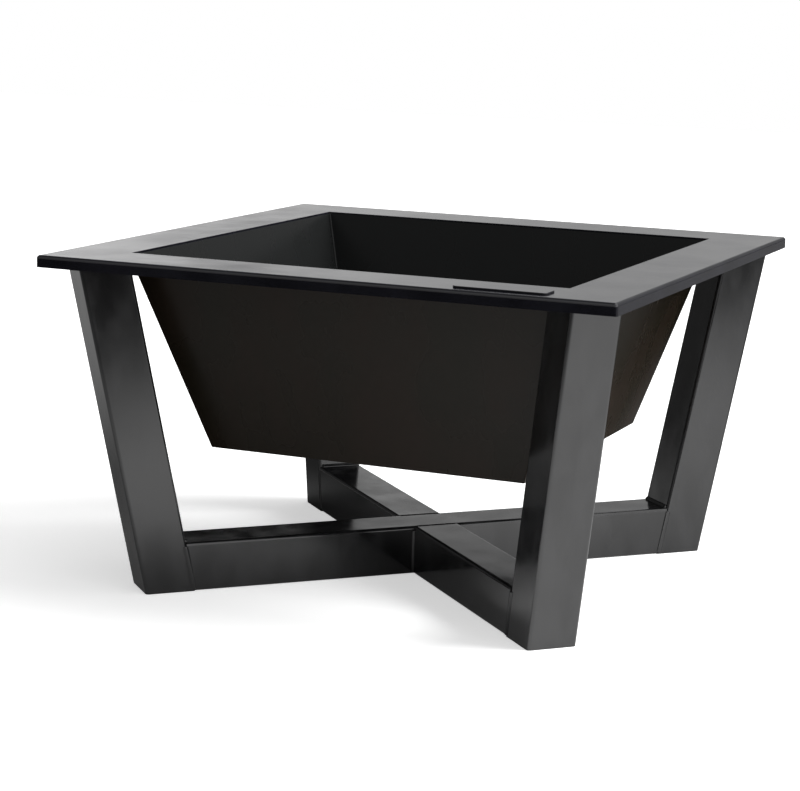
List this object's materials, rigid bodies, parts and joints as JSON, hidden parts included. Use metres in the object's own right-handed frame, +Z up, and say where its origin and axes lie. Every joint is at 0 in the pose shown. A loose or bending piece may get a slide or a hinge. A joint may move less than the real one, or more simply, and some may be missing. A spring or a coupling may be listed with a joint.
{
  "type": "fire pit with grate",
  "caption": "Square steel fire pit: a tapered bowl hung in a flat folded rim on leaning square-tube legs and a floor cross, with a lift-out grate.",
  "frame": {"origin": "on the floor under the middle of the bowl", "axes": "+Z up; the sides of the rim run along X and Y; the legs stand on the diagonals"},
  "size_m": [0.7, 0.7, 0.405],
  "materials": {
    "stand_paint": "satin black heat-resistant paint on square tube",
    "rim_paint": "satin black heat-resistant paint on folded sheet",
    "bowl_paint": "satin brown-black heat-resistant paint on sheet",
    "grate_steel": "dark oiled mild steel"
  },
  "bodies": {
    "stand": {"leg_front_right": "stand_paint", "leg_back_right": "stand_paint", "leg_back_left": "stand_paint", "leg_front_left": "stand_paint", "cross_beam_long": "stand_paint", "cross_beam_front_right": "stand_paint", "cross_beam_back_left": "stand_paint", "leg_top_plate_front_right": "stand_paint", "leg_top_plate_back_right": "stand_paint", "leg_top_plate_back_left": "stand_paint", "leg_top_plate_front_left": "stand_paint", "foot_plate_front_right": "stand_paint", "foot_plate_back_right": "stand_paint", "foot_plate_back_left": "stand_paint", "foot_plate_front_left": "stand_paint"},
    "bowl": {"rim_front": "rim_paint", "rim_right": "rim_paint", "rim_back": "rim_paint", "rim_left": "rim_paint", "bowl_wall_front": "bowl_paint", "bowl_wall_right": "bowl_paint", "bowl_wall_back": "bowl_paint", "bowl_wall_left": "bowl_paint", "bowl_floor": "bowl_paint"},
    "grate": {"grate_rail_front": "grate_steel", "grate_rail_right": "grate_steel", "grate_rail_back": "grate_steel", "grate_rail_left": "grate_steel", "grate_bar_1": "grate_steel", "grate_bar_2": "grate_steel", "grate_bar_3": "grate_steel", "grate_bar_4": "grate_steel", "grate_bar_5": "grate_steel", "grate_bar_6": "grate_steel", "grate_bar_7": "grate_steel", "grate_bar_8": "grate_steel", "grate_foot_front_right": "grate_steel", "grate_foot_back_right": "grate_steel", "grate_foot_back_left": "grate_steel", "grate_foot_front_left": "grate_steel"}
  },
  "joints": [
    {"name": "bowl_lift", "type": "slide", "parent": "stand", "child": "bowl", "axis": [0, 0, 1], "range_m": [0, 0.25]},
    {"name": "grate_lift", "type": "slide", "parent": "bowl", "child": "grate", "axis": [0, 0, 1], "range_m": [0, 0.25]}
  ]
}
